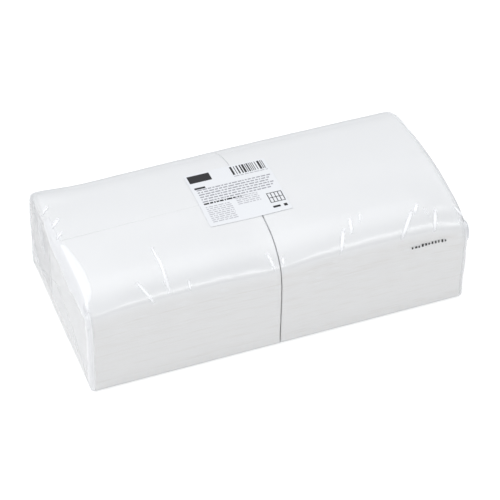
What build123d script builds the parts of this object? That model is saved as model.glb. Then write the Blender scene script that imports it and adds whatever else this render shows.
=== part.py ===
from build123d import *
import math
import os

# Sealed pack of folded paper napkins: four stacks in clear film, with a paper label on top.
# Millimetres. X runs along the pack, Y across it from front to back, Z up from the face it rests on.

# Stacks of folded napkins
STACK_LENGTH = 165.0
STACK_WIDTH = 85.5
STACK_HEIGHT = 97.4
HALVES_GAP = 2.0
ROWS_GAP = 0.8
GAP_EDGE_RADIUS = 2.5

# Folded edges that show as fine lines on the outer sides of a stack
NAPKIN_THICKNESS = 1.57
FOLD_GROOVE_DEPTH = 0.4
FOLD_GROOVE_WIDTH = 0.6

# Rounded form that the tight film gives the stacks
CROWN_RADIUS = 500.0
SHOULDER_RADIUS = 50.0
RIM_RADIUS = 7.0
RIM_TILT = 43.0
CHEEK_RADIUS = 50.0
CHEEK_TILT = 68.0
LENGTH_CROWN_RADIUS = 8000.0
END_EDGE_RADIUS = 4.5
BASE_EDGE_RADIUS = 2.5

# Film, drawn thicker than the real one
FILM_THICKNESS = 0.3
FILM_CLEARANCE = 0.3
FLAP_REACH = 46.0
FLAP_LAP = 10.0
FLAP_INSET = 0.5

# Label
LABEL_LENGTH = 72.0
LABEL_WIDTH = 72.0
LABEL_THICKNESS = 0.2
LABEL_CLEARANCE = 0.1
LABEL_CORNER_RADIUS = 1.0
LABEL_OFFSET_X = -5.0
LABEL_OFFSET_Y = 5.5
LABEL_TURN = -1.0

FILM_GROWTH = FILM_CLEARANCE + FILM_THICKNESS
HALF_LENGTH = STACK_LENGTH + HALVES_GAP / 2
HALF_WIDTH = STACK_WIDTH + ROWS_GAP / 2
CREST = FILM_THICKNESS + STACK_HEIGHT
OVERSIZE = 20.0


def slope_normal(tilt):
    """Unit vector in the cross section, normal to a surface that slopes down by tilt degrees to the side."""
    return Vector(math.sin(math.radians(tilt)), math.cos(math.radians(tilt)))


# Cross section of the stacks: crown, shoulder, rim and cheek arcs that run into each other and the upright side
CHEEK_Y = HALF_WIDTH - CHEEK_RADIUS
RIM_Y = CHEEK_Y + (CHEEK_RADIUS - RIM_RADIUS) * slope_normal(CHEEK_TILT).X
SHOULDER_Y = RIM_Y - (SHOULDER_RADIUS - RIM_RADIUS) * slope_normal(RIM_TILT).X
CROWN_TILT = math.degrees(math.asin(SHOULDER_Y / (CROWN_RADIUS - SHOULDER_RADIUS)))
CROWN_CENTRE = Vector(0, CREST - CROWN_RADIUS)
SHOULDER_CENTRE = CROWN_CENTRE + slope_normal(CROWN_TILT) * (CROWN_RADIUS - SHOULDER_RADIUS)
RIM_CENTRE = SHOULDER_CENTRE + slope_normal(RIM_TILT) * (SHOULDER_RADIUS - RIM_RADIUS)
CHEEK_CENTRE = RIM_CENTRE - slope_normal(CHEEK_TILT) * (CHEEK_RADIUS - RIM_RADIUS)

# At the pack's ends the crown along it has brought the top down by this much
END_DROP = LENGTH_CROWN_RADIUS - math.sqrt(LENGTH_CROWN_RADIUS**2 - HALF_LENGTH**2)
SIDE_TOP = CHEEK_CENTRE.Y - END_DROP


def section(growth):
    """Cross section of a crowned bar whose surface lies outside the stacks by growth."""
    side_foot = Vector(HALF_WIDTH + growth, -OVERSIZE)
    side = Line(side_foot, (HALF_WIDTH + growth, CHEEK_CENTRE.Y))
    cheek = CenterArc(CHEEK_CENTRE, CHEEK_RADIUS + growth, 0, 90 - CHEEK_TILT)
    rim = CenterArc(RIM_CENTRE, RIM_RADIUS + growth, 90 - CHEEK_TILT, CHEEK_TILT - RIM_TILT)
    shoulder = CenterArc(SHOULDER_CENTRE, SHOULDER_RADIUS + growth, 90 - RIM_TILT, RIM_TILT - CROWN_TILT)
    crown = CenterArc(CROWN_CENTRE, CROWN_RADIUS + growth, 90 - CROWN_TILT, 2 * CROWN_TILT)
    foot = Line(side_foot, (-side_foot.X, side_foot.Y))
    right_outline = Curve() + [side, cheek, rim, shoulder]
    left_outline = mirror(right_outline, about=Plane.YZ)
    return make_face(Curve() + [right_outline, crown, left_outline, foot])


def crowned_bar(growth):
    """Bar with upright sides and a top that is crowned across and along the pack."""
    axis = Axis((0, 0, CREST - LENGTH_CROWN_RADIUS), (0, 1, 0))
    swing = 2 * math.degrees(math.asin((HALF_LENGTH + growth + OVERSIZE) / LENGTH_CROWN_RADIUS))
    return revolve(Plane.YZ * section(growth), axis, swing).rotate(axis, -swing / 2)


def loaf(growth, base):
    """Crowned bar cut to the pack's length, with rounded ends and a rounded base edge."""
    room = Box(
        2 * (HALF_LENGTH + growth),
        2 * (HALF_WIDTH + OVERSIZE),
        CREST + OVERSIZE,
        align=(Align.CENTER, Align.CENTER, Align.MIN),
    )
    body = crowned_bar(growth) & Pos(0, 0, base) * room
    base_edges = body.faces().sort_by(Axis.Z)[0].edges()
    end_edges = [edge for edge in body.faces().filter_by(Axis.X).edges() if edge not in base_edges]
    body = fillet(end_edges, END_EDGE_RADIUS + growth)
    base_edges = body.faces().sort_by(Axis.Z)[0].edges()
    return fillet(base_edges, BASE_EDGE_RADIUS + growth)


def fold_lines(reach, start, end):
    """Row of wedges, one for each napkin, that cut the lines between folded edges into an upright side."""
    half_mouth = FOLD_GROOVE_WIDTH / 2
    lowest = BASE_EDGE_RADIUS + half_mouth
    highest = SIDE_TOP - FILM_THICKNESS - half_mouth
    first = math.ceil(lowest / NAPKIN_THICKNESS)
    last = math.floor(highest / NAPKIN_THICKNESS)
    wedges = Sketch()
    for layer in range(first, last + 1):
        height = FILM_THICKNESS + layer * NAPKIN_THICKNESS
        tip = (reach - FOLD_GROOVE_DEPTH, height)
        wedges += make_face(Polyline(tip, (reach, height - half_mouth), (reach, height + half_mouth), close=True))
    return extrude(Plane.YZ.offset(start) * wedges, end - start)


def napkin_stack():
    """One stack, at the back on the right, with fold lines on its two outer sides."""
    quarter = Pos(HALVES_GAP / 2, ROWS_GAP / 2, 0) * Box(
        STACK_LENGTH, STACK_WIDTH, CREST, align=(Align.MIN, Align.MIN, Align.MIN)
    )
    stack = loaf(0, FILM_THICKNESS) & quarter
    gap_faces = [stack.faces().sort_by(Axis.X)[0], stack.faces().sort_by(Axis.Y)[0]]
    gap_edges = ShapeList(edge for face in gap_faces for edge in face.edges())
    stack = fillet(gap_edges, GAP_EDGE_RADIUS)
    long_side = fold_lines(HALF_WIDTH, HALVES_GAP / 2 + GAP_EDGE_RADIUS, HALF_LENGTH - END_EDGE_RADIUS)
    short_side = fold_lines(HALF_LENGTH, ROWS_GAP / 2 + GAP_EDGE_RADIUS, HALF_WIDTH - END_EDGE_RADIUS)
    short_side = mirror(short_side, about=Plane.YZ).rotate(Axis.Z, -90)
    return stack - long_side - short_side


def end_flaps():
    """Envelope fold on the right end: a flap from above and, lapped over it, a flap from below."""
    outline = Pos(0, -END_DROP) * section(-END_EDGE_RADIUS - FLAP_INSET)
    side = HALF_WIDTH - END_EDGE_RADIUS - FLAP_INSET
    low = BASE_EDGE_RADIUS + FILM_GROWTH + FLAP_INSET
    lap_top = FLAP_REACH + FLAP_LAP
    upper_half = side - (SIDE_TOP - FLAP_REACH)
    lower_half = side - (lap_top - low)
    upper_right = Polyline((0, CREST), (side, CREST), (side, SIDE_TOP), (upper_half, FLAP_REACH), (0, FLAP_REACH))
    upper = make_face(Curve() + [upper_right, mirror(upper_right, about=Plane.YZ)])
    lower = make_face(Polyline((-side, low), (side, low), (lower_half, lap_top), (-lower_half, lap_top), close=True))
    place = Plane.YZ.offset(HALF_LENGTH + FILM_GROWTH)
    upper_flap = extrude(place * (upper & outline), FILM_THICKNESS)
    lower_flap = extrude(place * lower, FILM_THICKNESS)
    lap = extrude(place * (upper & lower), 2 * FILM_THICKNESS)
    return upper_flap + lower_flap + lap


def film_wrap():
    """Closed film round all four stacks, with folded ends."""
    right_flaps = end_flaps()
    left_flaps = mirror(right_flaps, about=Plane.YZ)
    cavity = loaf(FILM_CLEARANCE, FILM_THICKNESS)
    return loaf(FILM_GROWTH, 0) - cavity + right_flaps + left_flaps


def paper_label():
    """Label that follows the crown of the film."""
    underside = FILM_GROWTH + LABEL_CLEARANCE
    sheet = RectangleRounded(LABEL_LENGTH, LABEL_WIDTH, LABEL_CORNER_RADIUS)
    place = Pos(LABEL_OFFSET_X, LABEL_OFFSET_Y, 0) * Rot(0, 0, LABEL_TURN)
    column = extrude(place * sheet, CREST + OVERSIZE)
    return column & crowned_bar(underside + LABEL_THICKNESS) - crowned_bar(underside)


back_right = napkin_stack()
back_left = mirror(back_right, about=Plane.YZ)
pieces = {
    "napkin_stack_back_right": back_right,
    "napkin_stack_back_left": back_left,
    "napkin_stack_front_right": mirror(back_right, about=Plane.XZ),
    "napkin_stack_front_left": mirror(back_left, about=Plane.XZ),
    "film_wrap": film_wrap(),
    "paper_label": paper_label(),
}

os.makedirs("parts", exist_ok=True)
for name, piece in pieces.items():
    export_step(piece, f"parts/{name}.step")
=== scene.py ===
"""Looks of a sealed pack of folded paper napkins.

Four stacks of folded white tissue stand in two halves inside clear film, which is folded shut at both ends.
A printed paper label lies on top. Shapes are worked out in millimetres and put into the meshes in metres.
X runs along the pack, Y from its front to its back and Z up from the face it rests on.
"""

import logging
import math
from dataclasses import dataclass
from enum import Enum

import bmesh
import bpy
import numpy as np
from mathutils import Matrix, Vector

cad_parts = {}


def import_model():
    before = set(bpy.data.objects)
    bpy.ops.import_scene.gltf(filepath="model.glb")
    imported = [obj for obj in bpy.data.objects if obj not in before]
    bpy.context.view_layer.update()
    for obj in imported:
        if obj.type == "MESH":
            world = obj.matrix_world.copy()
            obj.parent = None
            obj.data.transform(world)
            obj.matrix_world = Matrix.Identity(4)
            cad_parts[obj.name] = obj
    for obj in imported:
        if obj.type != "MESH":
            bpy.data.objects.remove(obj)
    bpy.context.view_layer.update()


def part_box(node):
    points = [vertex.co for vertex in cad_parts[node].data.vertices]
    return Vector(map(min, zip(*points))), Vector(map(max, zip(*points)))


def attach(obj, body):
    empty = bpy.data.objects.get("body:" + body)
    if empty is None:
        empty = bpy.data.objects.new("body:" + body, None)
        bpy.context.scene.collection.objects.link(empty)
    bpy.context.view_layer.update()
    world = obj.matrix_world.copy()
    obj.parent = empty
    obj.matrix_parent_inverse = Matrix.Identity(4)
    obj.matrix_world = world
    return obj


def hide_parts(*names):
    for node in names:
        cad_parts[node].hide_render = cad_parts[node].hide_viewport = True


LOG = logging.getLogger("napkin_pack")
MM = 0.001
TINY = 1e-9
QUARTER_TURN = math.pi / 2.0
BODY = "root"

# Share of the way from the stacks to the solid film's outer face at which the thin film lies
FILM_PLACE = 0.5
LABEL_ABOVE_FILM = 0.05
FLAP_THICKNESS = 0.03
FIRST_STACK_SEED = 20

# Waves of the film over both ends of the pack
END_WAVE_SEED = 12
END_WAVE_LENGTH = 40.0
END_WAVE_HEIGHT = 0.22
END_WAVE_RAISE = 1.8

# Corners of a plate, in order round it
CORNER_U = np.array([0.0, 1.0, 1.0, 0.0])
CORNER_V = np.array([0.0, 0.0, 1.0, 1.0])

Array = np.ndarray
Pair = tuple[float, float]
Tree = bpy.types.NodeTree
Socket = bpy.types.NodeSocket
Piece = bpy.types.Object
Material = bpy.types.Material


class Ink(Enum):
    """Inks of the label and of the code on the film."""

    BLACK = "black"
    GREY = "grey"
    PALE = "pale"


def linear(hex_colour: str) -> tuple[float, float, float, float]:
    """Turns an sRGB hex colour to linear.

    Args:
        hex_colour: six hex digits, red, green and blue.

    Returns:
        Linear red, green and blue, with an alpha of one.
    """
    shares = [int(hex_colour[i : i + 2], 16) / 255 for i in (0, 2, 4)]
    channels = [s / 12.92 if s <= 0.04045 else ((s + 0.055) / 1.055) ** 2.4 for s in shares]
    return (*channels, 1.0)


def ease(low: float, high: float, values: Array) -> Array:
    """Smooth step: none at low, all at high, and level at both."""
    share = np.clip((values - low) / (high - low), 0.0, 1.0)
    return share * share * (3.0 - 2.0 * share)


def hump(centre: float, reach: float, values: Array) -> Array:
    """Bell that is one at centre and falls to 1/e at reach from it."""
    return np.exp(-(((values - centre) / reach) ** 2))


def edge_fall(depth: Array, radius: float) -> Array:
    """Fall of a quarter-round edge.

    The circle's height is the root of the radius squared less the distance from its centre squared.

    Args:
        depth: how far inside the wall each point lies.
        radius: radius of the rounded edge.

    Returns:
        How far the rounded surface lies below the flat one.
    """
    short = radius - np.clip(depth, 0.0, radius)
    return radius - np.sqrt(np.maximum(radius**2 - short**2, 0.0))


def node(tree: Tree, kind: str, inputs: dict | None = None, **settings: object) -> bpy.types.Node:
    """Adds a node with its settings and gives each named input a value or a link.

    Args:
        tree: node tree that gets the node.
        kind: Blender's name for the kind of node.
        inputs: socket name or number, and its value or the output that feeds it.
        settings: the node's own settings.

    Returns:
        The new node.
    """
    made = tree.nodes.new(kind)
    for name, value in settings.items():
        setattr(made, name, value)
    for name, value in (inputs or {}).items():
        if isinstance(value, Socket):
            tree.links.new(value, made.inputs[name])
        else:
            made.inputs[name].default_value = value
    return made


def new_material(name: str) -> tuple[Material, Tree, bpy.types.Node]:
    """Makes an empty node material.

    Args:
        name: the material's name.

    Returns:
        The material, its node tree and its output node.
    """
    material = bpy.data.materials.new(name)
    material.use_nodes = True
    tree = material.node_tree
    tree.nodes.clear()
    return material, tree, node(tree, "ShaderNodeOutputMaterial")


def noise(tree: Tree, size_mm: float, detail: float) -> Socket:
    """Adds a noise in the piece's own space.

    Args:
        tree: node tree that gets the nodes.
        size_mm: size of the noise's features.
        detail: how many finer noises lie on it.

    Returns:
        The noise's value.
    """
    place = node(tree, "ShaderNodeTexCoord").outputs["Object"]
    inputs = {"Vector": place, "Scale": 1.0 / (size_mm * MM), "Detail": detail}
    return node(tree, "ShaderNodeTexNoise", inputs).outputs["Fac"]


def painted(tree: Tree, name: str) -> Socket:
    """Adds a node that reads the value painted on each point."""
    return node(tree, "ShaderNodeAttribute", attribute_name=name).outputs["Fac"]


def blend(tree: Tree, share: Socket, first: str, second: str) -> Socket:
    """Adds a mix of two hex colours, which is the first at a share of none and the second at one."""
    inputs = {0: share, 6: linear(first), 7: linear(second)}
    return node(tree, "ShaderNodeMix", inputs, data_type="RGBA").outputs[2]


def spread(tree: Tree, share: Socket, low: float, high: float) -> Socket:
    """Adds a map of a share, from none to one, onto the range from low to high."""
    return node(tree, "ShaderNodeMapRange", {"Value": share, "To Min": low, "To Max": high}).outputs["Result"]


def coat(tree: Tree, output: bpy.types.Node, inputs: dict) -> None:
    """Adds a principled shader with these inputs and joins it to the material's output."""
    shader = node(tree, "ShaderNodeBsdfPrincipled", inputs)
    tree.links.new(shader.outputs["BSDF"], output.inputs["Surface"])


def grid_faces(rows: int, columns: int, wrap: bool) -> Array:
    """Quads of a grid of points that are numbered row by row.

    Args:
        rows: number of rows.
        columns: number of points in a row.
        wrap: whether the last column joins the first.

    Returns:
        One row of four point numbers for each quad.
    """
    row = np.arange(rows - 1)[:, None] * columns
    column = np.arange(columns if wrap else columns - 1)[None, :]
    following = (column + 1) % columns
    corners = [row + column, row + following, row + columns + following, row + columns + column]
    return np.stack(corners, axis=-1).reshape(-1, 4)


def put_piece(name: str, points: Array, faces: list[list[int]], material: Material) -> Piece:
    """Puts a surface into the scene as a smooth mesh with its faces outwards.

    Args:
        name: the piece's name.
        points: one row of three millimetre coordinates for each point.
        faces: point numbers of each face.
        material: the piece's material.

    Returns:
        The new object, at the origin.
    """
    mesh = bpy.data.meshes.new(name)
    mesh.from_pydata((points * MM).tolist(), [], faces)
    body = bmesh.new()
    body.from_mesh(mesh)
    bmesh.ops.recalc_face_normals(body, faces=body.faces)
    body.to_mesh(mesh)
    body.free()
    mesh.shade_smooth()
    mesh.materials.append(material)
    piece = bpy.data.objects.new(name, mesh)
    bpy.context.scene.collection.objects.link(piece)
    return piece


def put_lofted(name: str, rows: Array, poles: tuple[Array, Array], material: Material) -> Piece:
    """Puts in a surface of closed rows that ends in a pole at each side.

    Args:
        name: the piece's name.
        rows: points as rows, columns and three coordinates.
        poles: point before the first row and point after the last.
        material: the piece's material.

    Returns:
        The new object. Its points are the rows in order, then the two poles.
    """
    count, columns = rows.shape[:2]
    points = np.concatenate([rows.reshape(-1, 3), np.stack(poles)])
    column = np.arange(columns)
    following = (column + 1) % columns
    last = (count - 1) * columns
    first_fan = np.stack([np.full(columns, count * columns), following, column], axis=-1)
    last_fan = np.stack([np.full(columns, count * columns + 1), last + column, last + following], axis=-1)
    faces = grid_faces(count, columns, True).tolist() + first_fan.tolist() + last_fan.tolist()
    return put_piece(name, points, faces, material)


def put_plates(name: str, plates: Array, material: Material) -> Piece:
    """Puts in a set of thin closed plates as one flat-shaded piece.

    Args:
        name: the piece's name.
        plates: for each plate the four corners of its underside, then the four above them.
        material: the piece's material.

    Returns:
        The new object.
    """
    box = np.array([[3, 2, 1, 0], [4, 5, 6, 7], [0, 1, 5, 4], [1, 2, 6, 5], [2, 3, 7, 6], [3, 0, 4, 7]])
    faces = (np.arange(len(plates))[:, None, None] * 8 + box).reshape(-1, 4)
    piece = put_piece(name, plates.reshape(-1, 3), faces.tolist(), material)
    piece.data.shade_flat()
    return piece


def put_sheet(name: str, points: Array, thickness: float, material: Material) -> Piece:
    """Puts in a sheet with two faces and a closed border.

    Args:
        name: the piece's name.
        points: points as rows, columns and three coordinates.
        thickness: distance between the two faces.
        material: the piece's material.

    Returns:
        The new object.
    """
    rows, columns = points.shape[:2]
    piece = put_piece(name, points.reshape(-1, 3), grid_faces(rows, columns, False).tolist(), material)
    wall = piece.modifiers.new("thickness", "SOLIDIFY")
    wall.thickness = thickness * MM
    wall.offset = 0.0
    return piece


def paint(piece: Piece, name: str, values: Array) -> None:
    """Keeps a value for each point of a piece, for its material. Poles, which come last, keep none."""
    kept = np.zeros(len(piece.data.vertices), dtype=np.float32)
    kept[: values.size] = values.ravel()
    piece.data.attributes.new(name, "FLOAT", "POINT").data.foreach_set("value", kept)


def dress(piece: Piece, replaced: str) -> None:
    """Makes a piece ride on the pack and stand for a node, whose part it hides."""
    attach(piece, BODY)
    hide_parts(replaced)
    LOG.info("%s: %d points", piece.name, len(piece.data.vertices))


def side_name(right: bool) -> str:
    """Word for an end or a half of the pack."""
    return "right" if right else "left"


def sign(positive: bool) -> float:
    """Plus or minus one."""
    return 1.0 if positive else -1.0


@dataclass(frozen=True)
class Settling:
    """Small departures of the soft pack from its even form, shared by every piece so that they stay nested.

    Each is a smooth bump, slope or pull, in millimetres. A zone says where one grows from none to all, in
    shares of half the length, half the width or the height.
    """

    half_length: float
    half_width: float
    crest: float
    wedge: float = 0.028
    seam_shift: float = 3.44
    seam_bow: float = 0.00082
    seam_pivot_y: float = -13.4
    front_rise: float = 5.0
    front_zone: Pair = (0.15, 0.95)
    dip_x: float = -8.0
    dip_reach: float = 30.0
    right_droop: float = 8.0
    left_droop: float = 4.0
    droop_reach: float = 26.0
    left_pull: float = 1.6
    left_zone: Pair = (0.45, 1.0)
    foot_lift: float = 3.0
    foot_height: float = 12.0
    foot_pull: float = 0.8
    back_corner_lift: float = 6.0
    back_corner_reach: float = 30.0
    back_corner_zone: Pair = (0.5, 0.95)
    right_pull: float = 1.2
    right_zone: Pair = (0.55, 1.0)
    corner_pull: float = 1.5
    front_tuck: float = 2.5
    low_zone: Pair = (0.0, 0.6)
    high_zone: Pair = (0.4, 0.95)

    def move(self, points: Array, seam: bool = True) -> Array:
        """Moves points of the even form to where the soft pack has them.

        The top slopes down to the back in proportion to height. The seam between the halves is bowed, as a
        square of the distance from its pivot. The front edge of each half rises like a pillow, with a dip at
        the seam and drooping corners, and the back left top corner stands up. The back left edge is drawn in,
        the foot of the left end in and up, the right end in, most at its back top corner, and the foot of the
        front is tucked under.

        Args:
            points: coordinates in the last axis.
            seam: whether the points bow with the seam.

        Returns:
            The moved coordinates, as a new array.
        """
        x, y, z = np.moveaxis(points, -1, 0)
        along, across, up = x / self.half_length, y / self.half_width, z / self.crest
        height = np.clip(up, 0.0, 1.0)
        middle = 1.0 - np.clip(along, -1.0, 1.0) ** 2
        between = 1.0 - np.clip(across, -1.0, 1.0) ** 2
        front = ease(*self.front_zone, -across)
        back = ease(0.0, 1.0, across)
        left = ease(*self.left_zone, -along)
        right = ease(*self.right_zone, along)
        low = 1.0 - ease(*self.low_zone, up)
        high = ease(*self.high_zone, up)
        droop = self.right_droop * hump(self.half_length, self.droop_reach, x)
        droop = droop + self.left_droop * hump(-self.half_length, self.droop_reach, x)
        bow = self.seam_shift - self.seam_bow * (y - self.seam_pivot_y) ** 2
        shift_x = bow * middle * float(seam)
        shift_x = shift_x + self.left_pull * left * back + self.foot_pull * left * low * between
        shift_x = shift_x - self.right_pull * right - self.corner_pull * right * back * high
        shift_y = self.front_tuck * front * low
        rise = self.front_rise * (1.0 - hump(self.dip_x, self.dip_reach, x))
        corner = self.back_corner_lift * hump(-self.half_length, self.back_corner_reach, x)
        corner = corner * ease(*self.back_corner_zone, across)
        shift_z = -self.wedge * y * height + ((rise - droop) * front + corner) * height**2
        shift_z = shift_z + self.foot_lift * left * back * low * ease(0.0, self.foot_height, z)
        return np.stack([x + shift_x, y + shift_y, z + shift_z], axis=-1)


@dataclass(frozen=True)
class SectionSteps:
    """How many points each stretch of half a cross section gets."""

    crown: int
    shoulder: int
    rim: int
    cheek: int
    side: int
    fillet: int
    base: int


@dataclass(frozen=True)
class LoafForm:
    """Rounded form that the tight film gives the stacks, in millimetres.

    Across the pack the top is a crown arc, a shoulder arc, a tight rim arc and a cheek arc. They run into
    each other and into an upright side. Along the pack the top falls in one long arc. The ends are rounded.
    """

    half_length: float
    half_width: float
    crest: float
    base: float
    crown_radius: float = 500.0
    shoulder_radius: float = 50.0
    rim_radius: float = 7.0
    rim_tilt: float = math.radians(43.0)
    cheek_radius: float = 50.0
    cheek_tilt: float = math.radians(68.0)
    length_crown_radius: float = 8000.0
    end_radius: float = 6.0
    corner_radius: float = 3.0
    base_radius: float = 2.5
    table_steps: int = 721

    @property
    def centres_y(self) -> list[float]:
        """Distances of the four arcs' centres from the middle, the crown's first."""
        cheek = self.half_width - self.cheek_radius
        rim = cheek + (self.cheek_radius - self.rim_radius) * math.sin(self.cheek_tilt)
        shoulder = rim - (self.shoulder_radius - self.rim_radius) * math.sin(self.rim_tilt)
        return [0.0, shoulder, rim, cheek]

    @property
    def crown_tilt(self) -> float:
        """Slope at which the crown arc runs into the shoulder arc."""
        return math.asin(self.centres_y[1] / (self.crown_radius - self.shoulder_radius))

    @property
    def centres_z(self) -> list[float]:
        """Heights of the four arcs' centres, the crown's first. The upright side ends at the last one."""
        crown = self.crest - self.crown_radius
        shoulder = crown + (self.crown_radius - self.shoulder_radius) * math.cos(self.crown_tilt)
        rim = shoulder + (self.shoulder_radius - self.rim_radius) * math.cos(self.rim_tilt)
        cheek = rim - (self.cheek_radius - self.rim_radius) * math.cos(self.cheek_tilt)
        return [crown, shoulder, rim, cheek]

    def arcs(self, tilt: Array, growth: Array | float) -> tuple[Array, Array]:
        """Points of half the top's cross section.

        Each point is its arc's centre plus the arc's radius along the slope's normal. Growth widens every
        radius.

        Args:
            tilt: slope of the surface at each point, from level to upright.
            growth: how far the surface lies outside the stacks.

        Returns:
            Distance from the middle and height.
        """
        arc = np.searchsorted([self.crown_tilt, self.rim_tilt, self.cheek_tilt], tilt)
        centre_y = np.array(self.centres_y)[arc]
        centre_z = np.array(self.centres_z)[arc]
        radius = np.array([self.crown_radius, self.shoulder_radius, self.rim_radius, self.cheek_radius])[arc]
        return centre_y + (radius + growth) * np.sin(tilt), centre_z + (radius + growth) * np.cos(tilt)

    def table(self, growth: float) -> tuple[Array, Array]:
        """Fine table of half the top's cross section, as distances from the middle and heights."""
        return self.arcs(np.linspace(0.0, QUARTER_TURN, self.table_steps), growth)

    def top(self, y: Array, growth: float = 0.0) -> Array:
        """Height of the top at a distance from the middle, from the table.

        Args:
            y: distance across the pack from its middle, either way.
            growth: how far the surface lies outside the stacks.

        Returns:
            Height of the top at the middle of the length.
        """
        table_y, table_z = self.table(growth)
        return np.interp(np.abs(y), table_y, table_z)

    def side(self, z: Array, growth: float) -> Array:
        """Distance of the side from the middle at a height, from the table."""
        table_y, table_z = self.table(growth)
        return np.interp(-z, -table_z, table_y)

    def length_fall(self, x: Array) -> Array:
        """Fall of the long arc: its radius less the root of the radius squared less the distance squared."""
        return self.length_crown_radius - np.sqrt(self.length_crown_radius**2 - x**2)

    def half_section(self, steps: SectionSteps, growth: float, fall: Array, depth: Array) -> Array:
        """Half of each cross section, from the crest down the side to the middle of the base.

        Near an end a section shrinks as quarter circles do: by a large one on the level top, by a small one
        on the upright sides and by one of the base edge's radius at the base.

        Args:
            steps: number of points in each stretch.
            growth: how far the surface lies outside the stacks.
            fall: how far each section's top lies below the crest's arc, as a column.
            depth: how far each section lies inside the nearer end, as a column.

        Returns:
            Distance from the middle and height in the last axis, for each section and point.
        """
        stops = [0.0, self.crown_tilt, self.rim_tilt, self.cheek_tilt, QUARTER_TURN]
        counts = [steps.crown, steps.shoulder, steps.rim, steps.cheek]
        stretches = zip(stops[:-1], stops[1:], counts)
        tilt = np.concatenate([np.linspace(*stretch, endpoint=False) for stretch in stretches])[None, :]
        level = np.cos(tilt) ** 2
        end_inset = edge_fall(depth, self.end_radius + growth)
        side_inset = edge_fall(depth, self.corner_radius + growth)
        base_inset = edge_fall(depth, self.base_radius + growth)
        top_y, top_z = self.arcs(tilt, growth - end_inset * level - side_inset * (1.0 - level))
        fillet = self.base_radius + growth - base_inset
        down = np.linspace(0.0, 1.0, steps.side, endpoint=False)[None, :]
        turn = np.linspace(0.0, QUARTER_TURN, steps.fillet, endpoint=False)[None, :]
        inwards = np.linspace(0.0, 1.0, steps.base + 1)[None, :]
        reach = self.half_width + growth - side_inset
        foot = self.base_radius + growth
        side_z = (self.centres_z[-1] - fall) * (1.0 - down) + foot * down
        y = np.concatenate(
            [
                top_y,
                reach + 0.0 * down,
                reach - fillet + fillet * np.cos(turn),
                (reach - fillet) * (1.0 - inwards),
            ],
            axis=1,
        )
        z = np.concatenate(
            [top_z - fall, side_z, foot - fillet * np.sin(turn), base_inset + 0.0 * inwards], axis=1
        )
        return np.stack([y, z], axis=-1)


@dataclass(frozen=True)
class TissuePaper:
    """Two-ply bleached tissue: soft and matt, with a fine tooth, and with painted shade in the lines between
    folds.
    """

    colour: str = "E8E9EA"
    fold_shade_colour: str = "D4D0CA"
    roughness: float = 0.95
    specular: float = 0.2
    tooth_mm: float = 0.9
    tooth_detail: float = 2.0
    tooth_height_mm: float = 0.06
    tooth_strength: float = 0.35

    def make(self) -> Material:
        """Builds the material: matt white with painted shade in the fold lines and on the sides, with a noise
        bump.

        Returns:
            The tissue's material.
        """
        material, tree, output = new_material("bleached_tissue_paper")
        tooth = {
            "Height": noise(tree, self.tooth_mm, self.tooth_detail),
            "Strength": self.tooth_strength,
            "Distance": self.tooth_height_mm * MM,
        }
        # The painted fold shade turns the white to grey in the fold lines, where shade falls between napkins.
        inputs = {
            "Base Color": blend(tree, painted(tree, "fold_shade"), self.colour, self.fold_shade_colour),
            "Roughness": self.roughness,
            "Specular IOR Level": self.specular,
            "Normal": node(tree, "ShaderNodeBump", tooth).outputs["Normal"],
        }
        coat(tree, output, inputs)
        return material


@dataclass(frozen=True)
class ClearFilm:
    """Oriented polypropylene film: clear and glossy on both faces, milky in creases and painted highlights,
    and grey in painted shade.
    """

    clear_colour: str = "FFFFFF"
    # Milky white of the haze, which paints highlights as well as creases, and grey of the painted shade in
    # the clear share.
    haze_highlight_colour: str = "FBFCFE"
    gathered_and_shade_colour: str = "DCDEE0"
    straight_mirror: float = 0.07
    grazing_mirror: float = 0.25
    grazing_power: float = 4.5
    even_blend: float = 0.5
    roughness: float = 0.18

    def make(self) -> Material:
        """Builds the material: clear where it faces the eye, glossier at a slant, white by its haze and
        greyer by its painted shade.

        The mirrored share is that of a straight look, plus a share that grows as a power of how far the sheet
        is turned. It is the same from both sides of the sheet. The clear share is tinted grey by a painted
        shade, which stands for shade that falls on the pack as well as for sheets that lie gathered on each
        other. The
        haze is white diffuse: milky creases and painted highlights.

        Returns:
            The film's material.
        """
        material, tree, output = new_material("clear_polypropylene_film")
        slant = node(tree, "ShaderNodeLayerWeight", {"Blend": self.even_blend}).outputs["Facing"]
        grazing = node(tree, "ShaderNodeMath", {0: slant, 1: self.grazing_power}, operation="POWER")
        mirror = node(
            tree,
            "ShaderNodeMath",
            {0: grazing.outputs["Value"], 1: self.grazing_mirror, 2: self.straight_mirror},
            operation="MULTIPLY_ADD",
            use_clamp=True,
        )
        # Painted shade: the clear share turns grey where it is painted.
        tint = blend(tree, painted(tree, "gathered_and_shade"), self.clear_colour, self.gathered_and_shade_colour)
        clear = node(tree, "ShaderNodeBsdfTransparent", {"Color": tint}).outputs["BSDF"]
        gloss = node(tree, "ShaderNodeBsdfGlossy", {"Roughness": self.roughness}).outputs["BSDF"]
        sheet = node(tree, "ShaderNodeMixShader", {0: mirror.outputs["Value"], 1: clear, 2: gloss})
        # Painted highlight: white diffuse where the haze is painted, partly the milk of creased film.
        haze_highlight_shader = node(tree, "ShaderNodeBsdfDiffuse", {"Color": linear(self.haze_highlight_colour)}).outputs["BSDF"]
        layers = {0: painted(tree, "haze_highlight"), 1: sheet.outputs["Shader"], 2: haze_highlight_shader}
        film = node(tree, "ShaderNodeMixShader", layers)
        tree.links.new(film.outputs["Shader"], output.inputs["Surface"])
        return material


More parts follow.
